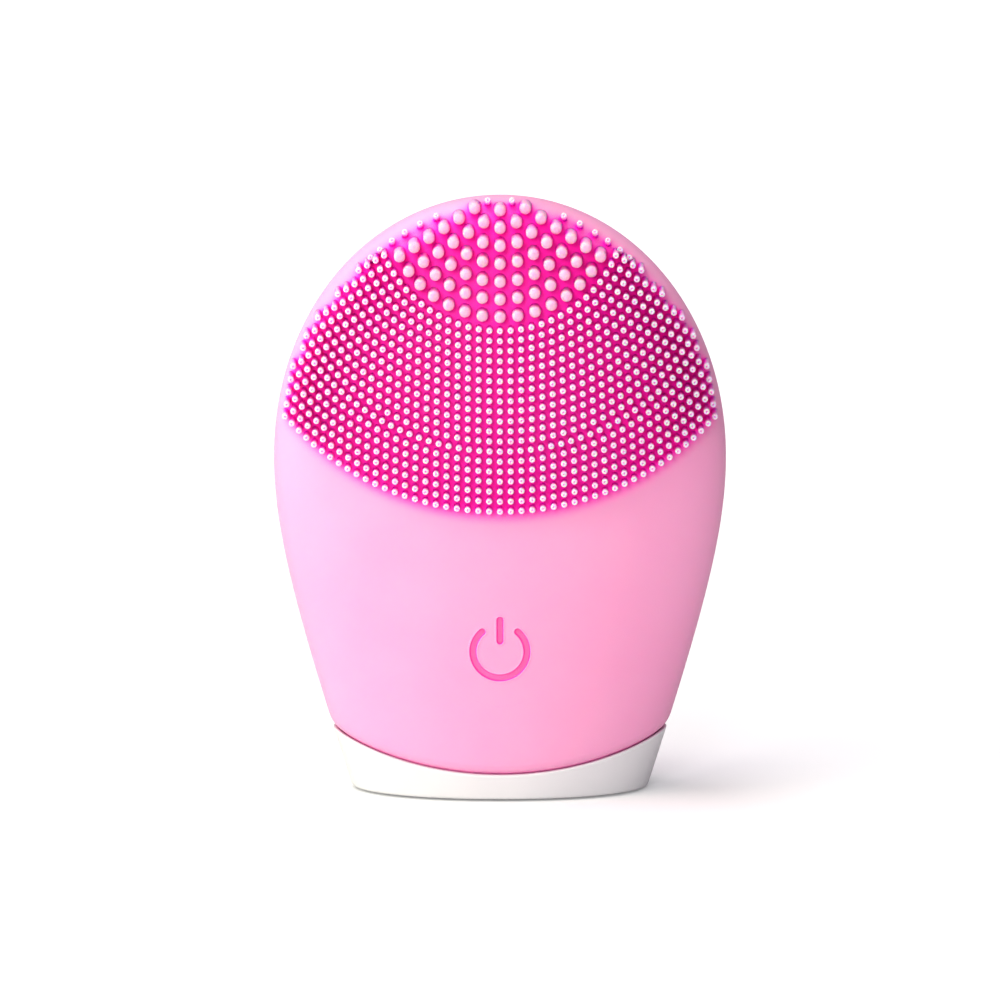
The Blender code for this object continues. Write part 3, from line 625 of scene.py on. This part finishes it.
# The neck's painted shade fades out between these heights above the rim.
NECK_SHADE_FROM, NECK_SHADE_TO = 3.0, 6.0
INNER_HEIGHTS = (9.0, 13.0, 15.0, 17.0, 27.0, 38.0)
# The stand's underside round its foot, the underside's rounded edge as (height above it, inset), and the
# rounding of the rim.
RECESS_INSET, UNDER_INSET, RIM_ROUND, RIM_STEPS = 3.3, 3.2, 0.28, 8
UNDER_EDGE = ((0.0, 0.5), (0.02, 0.25), (0.1, 0.1), (0.22, 0.02), (0.5, 0.0))
FOOT_INSET, FOOT_ROUND = 3.6, 0.3
PLUG_STEM_R, PLUG_STEM_Y, PLUG_RING_R = 1.0, 2.6, 1.75


def icon_distance(u, v):
    """Distance outside the stroke of the power symbol, negative inside it."""
    r, a = math.hypot(u, v), abs(math.atan2(u, v))
    if a > ICON_GAP:
        arc = abs(r - ICON_R)
    else:
        arc = math.hypot(abs(u) - ICON_R * math.sin(ICON_GAP), v - ICON_R * math.cos(ICON_GAP))
    bar = math.hypot(u, v - min(max(v, ICON_BAR[0]), ICON_BAR[1]))
    return min(arc, bar) - ICON_HALF


def button_face(material):
    """The button's round face with the power symbol sunk in it."""
    around = SECTORS * PER_SECTOR
    points, depth = [], []
    for k in range(FACE_STEPS + 1):
        r = FACE_R * k / FACE_STEPS
        for i in range(around if k else 1):
            a = 2 * math.pi * i / around
            u, v = r * math.sin(a), r * math.cos(a)
            d = icon_distance(u, v)
            sunk = float(smooth(*ICON_WALL, d))
            lip = LIP * math.exp(-((d - LIP_OUT) / LIP_WIDTH) ** 2)
            y = skin_y(u, BUTTON_Z + v) + ICON_DEPTH * sunk - lip
            points.append((u * MM, y * MM, (BUTTON_Z + v) * MM))
            depth.append(sunk)
    faces = []
    for k in range(FACE_STEPS):
        for i in range(around):
            j = (i + 1) % around
            b = 1 + k * around
            if k == 0:
                faces.append((0, b + i, b + j))
            else:
                a = b - around
                faces.append((a + i, b + i, b + j, a + j))
    obj = mesh_object("power_button_face", points, faces, material)
    paint(obj, "deep", depth)
    return obj


def membrane(k, material):
    """One sector of the thin skin round the button, between button and sleeve."""
    points = []
    for s in range(FLEX_STEPS + 1):
        r = FACE_R + (FLEX_R - FACE_R) * s / FLEX_STEPS
        for i in range(PER_SECTOR + 1):
            a = 2 * math.pi * (k + i / PER_SECTOR) / SECTORS
            u, v = r * math.sin(a), r * math.cos(a)
            points.append((u * MM, skin_y(u, BUTTON_Z + v) * MM, (BUTTON_Z + v) * MM))
    row = PER_SECTOR + 1
    faces = [(s * row + i, (s + 1) * row + i, (s + 1) * row + i + 1, s * row + i + 1)
             for s in range(FLEX_STEPS) for i in range(PER_SECTOR)]
    obj = mesh_object(f"button_membrane_{k + 1:02d}", points, faces, material)
    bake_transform(obj)
    return obj


def mouth_ring(z, count):
    """The edge of the sleeve's open mouth, inside the stand."""
    return ring(z, lambda _: MOUTH_HALF_WIDTH, lambda _: MOUTH_HALF_DEPTH, count)


def outer_skin(count):
    """The sleeve's outside, from the crown down to where it turns in over the stand's rim."""
    rings = [[(0, 0, HEIGHT * MM)]] + dome(0.0, 70, count)
    rings += [body_ring(z, 0.0, count) for z in np.linspace(WIDEST_Z, PLAIN_TO, 50)[1:]]
    rings += [rim_ring(float(up), 0.0, count) for up in np.linspace(NECK_START, NECK_END, 6)]
    for k in range(1, NECK_STEPS + 1):
        a = 0.5 * math.pi * k / NECK_STEPS
        up = NECK_RISE + NECK_TURN * (1 - math.sin(a))
        rings.append(rim_ring(up, NECK_INSET * (1 - math.cos(a)) ** NECK_CURVE, count))
    return rings + [rim_ring(-NECK_DROP, NECK_INSET, count)]


def inner_skin(count):
    """From the sleeve's foot, round its mouth and up its inside."""
    top = SLEEVE_FOOT + SKIN
    rings = [
        body_ring(SLEEVE_FOOT + 0.7, TUCK, count),
        body_ring(SLEEVE_FOOT + 0.2, TUCK + 0.12, count),
        body_ring(SLEEVE_FOOT, TUCK + 0.6, count),
        mouth_ring(SLEEVE_FOOT, count),
        mouth_ring(top, count),
        body_ring(top, TUCK + SKIN + 0.8, count),
        body_ring(top + 0.8, TUCK + SKIN, count),
    ]
    rings += [body_ring(z, SKIN + tuck_at(z), count) for z in INNER_HEIGHTS]
    return rings + dome(SKIN, 10, count, high_to_low=False) + [[(0, 0, (HEIGHT - SKIN) * MM)]]


def sleeve(material):
    """The whole skin without its bristles, with holes for the button and the charging port."""
    rings = outer_skin(SLEEVE_COUNT) + inner_skin(SLEEVE_COUNT)
    obj = lofted("silicone_sleeve_skin", rings, material)
    drill(obj, FLEX_R, *BUTTON_HOLE, BUTTON_Z, BUTTON_HOLE_SIDES)
    drill(obj, PORT_R + PORT_CLEARANCE, *PORT_HOLE, PORT_Z, PORT_COUNT)
    obj.data.materials.clear()
    obj.data.materials.append(material)
    obj.data.shade_smooth()
    obj.data.set_sharp_from_angle(angle=math.radians(40))
    smooth_front(obj.data)
    # Where the neck's milder painted shade applies, fading out above the rim.
    above = np.array([v.co.z / MM - rim_z(v.co.x / MM) for v in obj.data.vertices])
    paint(obj, "neck", 1 - smooth(NECK_SHADE_FROM, NECK_SHADE_TO, above))
    return obj


def skin_normal(x, y, z):
    """Outward direction of the body's own surface."""
    p, step = SECTION_POWER, 0.01
    wide, deep = half_width(z), half_depth(z)
    widening = (half_width(z + step) - half_width(z - step)) / (2 * step)
    deepening = (half_depth(z + step) - half_depth(z - step)) / (2 * step)
    u, v = abs(x) / wide, abs(y) / deep
    return Vector((math.copysign(u ** (p - 1) / wide, x), math.copysign(v ** (p - 1) / deep, y),
                   -(u ** p * widening / wide + v ** p * deepening / deep))).normalized()


def smooth_front(mesh):
    """Gives the skin round the button the normals of the true surface, across the drilled edge."""
    normals = [Vector(n.vector) for n in mesh.corner_normals]
    for face in mesh.polygons:
        x, y, z = face.center / MM
        if y > FRONT_Y or abs(x) > FRONT_HALF or not FRONT_LOW < z < FRONT_HIGH:
            continue
        if face.normal.dot(skin_normal(x, y, z)) < SAME_WAY:
            continue
        for corner in face.loop_indices:
            normals[corner] = skin_normal(*(mesh.vertices[mesh.loops[corner].vertex_index].co / MM))
    mesh.normals_split_custom_set(normals)


def stand_cup(material):
    """The stand: underside with a recess for the foot, wall, rounded rim and the cup inside."""
    count = STAND_COUNT
    rings = [
        [(0, 0, FOOT_RECESS * MM)],
        body_ring(FOOT_RECESS, RECESS_INSET, count),
        body_ring(STAND_UNDER, UNDER_INSET, count),
    ]
    rings += [body_ring(STAND_UNDER + up, inset, count) for up, inset in UNDER_EDGE]
    rings += [
        body_ring(lambda x: 0.5 * (STAND_UNDER + 0.8 + rim_z(x)), 0.0, count),
        rim_ring(-0.45, 0.0, count),
    ]
    for k in range(RIM_STEPS + 1):
        a = math.pi * k / RIM_STEPS
        rings.append(rim_ring(RIM_ROUND * (math.sin(a) - 1), STAND_WALL * (1 - math.cos(a)) / 2, count))
    rings += [
        rim_ring(-0.6, STAND_WALL, count),
        body_ring(CUP_FLOOR + 0.5, STAND_WALL, count),
        body_ring(CUP_FLOOR, STAND_WALL + 0.5, count),
        [(0, 0, CUP_FLOOR * MM)],
    ]
    obj = lofted("stand_cup_shell", rings, material)
    obj.data.set_sharp_from_angle(angle=math.radians(50))
    return obj


def foot_pad(material):
    """The pad that the stand rests on, rounded at its lower edge."""
    top = FOOT_RECESS - GAP
    rings = [
        [(0, 0, 0)],
        body_ring(0.0, FOOT_INSET + 0.4, FOOT_COUNT),
        body_ring(0.08, FOOT_INSET + 0.15, FOOT_COUNT),
        body_ring(FOOT_ROUND, FOOT_INSET, FOOT_COUNT),
        body_ring(top, FOOT_INSET, FOOT_COUNT),
        [(0, 0, top * MM)],
    ]
    obj = lofted("stand_foot", rings, material)
    obj.data.set_sharp_from_angle(angle=math.radians(50))
    return obj


def port_plug(material):
    """A stem, then the disc that seals the port, with a raised ring round a shallow dish."""
    face = half_depth(PORT_Z)
    stem = [(0, PLUG_STEM_Y), (PLUG_STEM_R - 0.3, PLUG_STEM_Y), (PLUG_STEM_R, PLUG_STEM_Y + 0.5)]
    disc = [(PLUG_STEM_R, face - 1.2), (PORT_R - 0.15, face - 1.2), (PORT_R, face - 1.0),
            (PORT_R, face - 0.3), (PORT_R - 0.08, face - 0.12), (PORT_R - 0.25, face - 0.02)]
    dish = [(2.2, face + 0.06), (PLUG_RING_R, face + 0.1), (1.6, face - 0.02), (1.35, face - 0.08),
            (0.7, face - 0.12), (0, face - 0.13)]
    rings = turned_rings(stem + disc + dish, PLUG_COUNT, PORT_Z)
    return lofted("charging_port_plug", rings, material)


# ------------------------------------------------------------------ the whole object

REPLACED = {"silicone_sleeve", "power_button_pad", "stand_cup", "stand_foot_pad", "charge_port_plug"}
BOARDS = ("circuit_board", "battery_guard_board")
METALS = ("brushed_steel", "aluminium")


def cad_material(node, class_name, base):
    """The material of a CAD piece that is carried over, from its class and colour in the record."""
    if node in BOARDS:
        return board_material("look_" + node)
    if class_name in METALS:
        return metal("look_" + node, base, rough=0.3)
    if class_name == "rubber":
        return plastic("look_" + node, base, rough=0.7, tooth=0.35, scale=2500.0)
    return plastic("look_" + node, base, rough=0.25 if class_name == "gloss_plastic" else 0.42)


def add_sleeve(skin):
    body = sleeve(skin)
    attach(body, "brush")
    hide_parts("silicone_sleeve")


def add_bristles():
    """The fine bristles, in two halves to keep each mesh light, and the thick ones."""
    fine_look = bristle_material("fine_bristle_silicone", FINE_TIP_LIGHT, FINE_REACH)
    thick_look = bristle_material("thick_bristle_silicone", THICK_TIP_LIGHT, THICK_REACH)
    places = fine_places()
    left_half = [place for place in places if place[0] < 0]
    right_half = [place for place in places if place[0] >= 0]
    left = bristles("fine_bristles_left", left_half, FINE, fine_look)
    right = bristles("fine_bristles_right", right_half, FINE, fine_look)
    thick = bristles("thick_bristles", thick_places(), THICK, thick_look)
    for piece in (left, right, thick):
        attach(piece, "brush")


def add_button(skin):
    face = button_face(silicone("pink_silicone_button", GROOVE))
    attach(face, "power_button")
    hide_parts("power_button_pad")
    for k in range(SECTORS):
        membrane(k, skin)


def add_stand():
    cup = stand_cup(plastic("white_plastic", CUP_WHITE, rough=0.38, tooth=0.10))
    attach(cup, "stand")
    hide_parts("stand_cup")
    foot = foot_pad(plastic("pale_foot_rubber", FOOT_GREY, rough=0.75, tooth=0.4, scale=2500.0))
    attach(foot, "stand")
    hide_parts("stand_foot_pad")


def add_plug():
    plug = port_plug(silicone("pink_silicone_plug"))
    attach(plug, "port_plug")
    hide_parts("charge_port_plug")


def dress_cad(frame):
    """Gives each CAD piece that isn't replaced its material."""
    looks = {m["slot"]: m for m in frame["record"]["materials"]}
    for name, node in frame["nodes"].items():
        if name in REPLACED:
            continue
        look = looks[name]
        material = cad_material(name, look["class"], tuple(look["base_color"][:3]))
        node.data.materials.clear()
        node.data.materials.append(material)


# ------------------------------------------------------------------ stage

# Sizes here are in metres. SKY is the world's strength as a light, BACKDROP its strength in the camera.
SKY, BACKDROP, SKY_COLOUR, CONTRAST = 0.46, 1.15, (0.97, 0.945, 1.0), 0.714
# The floor glows a little, for the camera alone, and more with distance, so that it meets the backdrop.
FLOOR_COLOUR, FLOOR_GLOW, FAR_GLOW, GLOW_FROM, GLOW_TO = (0.72, 0.72, 0.72), 0.27, 2.4, 0.15, 1.2
FLOOR_SIDE, FLOOR_BACK = 6.0, 8.0
CAMERA_DISTANCE, CAMERA_RISE, AIM_Z, VIEW_WIDTH = 1.1, math.radians(10.0), 0.0438, 0.15
SENSOR, LIT_POINT = 36.0, (0, 0, 0.045)
WARM, ROSE = (1.0, 0.99, 0.84), (1.0, 0.84, 1.0)
# Name, place, diameter, power and colour.
LIGHTS = (
    ("key", (-0.85, -0.80, 1.15), 1.1, 6.8, WARM),
    ("front", (-0.28, -1.30, 0.42), 0.5, 7.0, WHITE),
    ("side", (-1.25, -0.35, 0.30), 0.6, 8.6, WARM),
    ("top", (-0.30, 0.10, 1.30), 0.8, 8.2, WHITE),
    ("fill", (1.10, -0.75, 0.12), 0.6, 1.8, ROSE),
)


def camera():
    """Looks at the brush from the front, from a little above."""
    data = bpy.data.cameras.new("camera")
    data.sensor_width = SENSOR
    data.lens = SENSOR * CAMERA_DISTANCE / VIEW_WIDTH
    data.clip_start, data.clip_end = 0.05, 20.0
    obj = bpy.data.objects.new("camera", data)
    obj.location = (0, -CAMERA_DISTANCE * math.cos(CAMERA_RISE),
                    AIM_Z + CAMERA_DISTANCE * math.sin(CAMERA_RISE))
    obj.rotation_euler = (math.pi / 2 - CAMERA_RISE, 0, 0)
    bpy.context.scene.collection.objects.link(obj)
    bpy.context.scene.camera = obj


def area_light(name, place, size, power, colour):
    """A round light that faces the brush."""
    data = bpy.data.lights.new(name, "AREA")
    data.shape, data.size, data.energy, data.color = "DISK", size, power, colour
    obj = bpy.data.objects.new(name, data)
    obj.location = place
    obj.rotation_euler = (Vector(LIT_POINT) - Vector(place)).to_track_quat("-Z", "Y").to_euler()
    bpy.context.scene.collection.objects.link(obj)


def floor_material():
    """White, with the floor's glow."""
    mat, tree, shader = new_material("floor_white", rough=0.9)
    shader.inputs["Base Color"].default_value = (*FLOOR_COLOUR, 1.0)
    shader.inputs["Specular IOR Level"].default_value = 0.1
    shader.inputs["Emission Color"].default_value = (*WHITE, 1.0)
    glow = add_node(tree, "ShaderNodeMath", operation="MULTIPLY")
    place = tree.nodes.new("ShaderNodeTexCoord")
    distance = add_node(tree, "ShaderNodeVectorMath", operation="LENGTH")
    farther = tree.nodes.new("ShaderNodeMapRange")
    farther.inputs["From Min"].default_value = GLOW_FROM
    farther.inputs["From Max"].default_value = GLOW_TO
    farther.inputs["To Min"].default_value = 1.0
    farther.inputs["To Max"].default_value = FAR_GLOW
    tree.links.new(place.outputs["Object"], distance.inputs[0])
    tree.links.new(distance.outputs["Value"], farther.inputs["Value"])
    tree.links.new(farther.outputs["Result"], glow.inputs[0])
    tree.links.new(seen_by_camera(tree, 0.0, FLOOR_GLOW), glow.inputs[1])
    tree.links.new(glow.outputs["Value"], shader.inputs["Emission Strength"])
    return mat


def stage():
    """The studio: floor, sky, lights and how the picture is shown."""
    side, back = FLOOR_SIDE, FLOOR_BACK
    points = [(-side, -side, 0), (side, -side, 0), (side, back, 0), (-side, back, 0)]
    floor = mesh_object("floor", points, [(0, 1, 2, 3)], floor_material(), False)
    world = bpy.data.worlds.new("studio")
    world.use_nodes = True
    background = world.node_tree.nodes["Background"]
    background.inputs["Color"].default_value = (*SKY_COLOUR, 1.0)
    strength = seen_by_camera(world.node_tree, SKY, BACKDROP)
    world.node_tree.links.new(strength, background.inputs["Strength"])
    bpy.context.scene.world = world
    for light in LIGHTS:
        area_light(*light)
    view = bpy.context.scene.view_settings
    view.view_transform, view.gamma = "Standard", CONTRAST


def seen_by_camera(tree, otherwise, seen):
    """A strength that is seen where the camera looks straight at it, and otherwise for all other light."""
    path = tree.nodes.new("ShaderNodeLightPath")
    strength = tree.nodes.new("ShaderNodeMapRange")
    strength.inputs["To Min"].default_value = otherwise
    strength.inputs["To Max"].default_value = seen
    tree.links.new(path.outputs["Is Camera Ray"], strength.inputs["Value"])
    return strength.outputs["Result"]


def main():
    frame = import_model()
    skin = silicone("pink_silicone")
    add_sleeve(skin)
    add_bristles()
    add_button(skin)
    add_stand()
    add_plug()
    dress_cad(frame)
    camera()
    stage()


main()
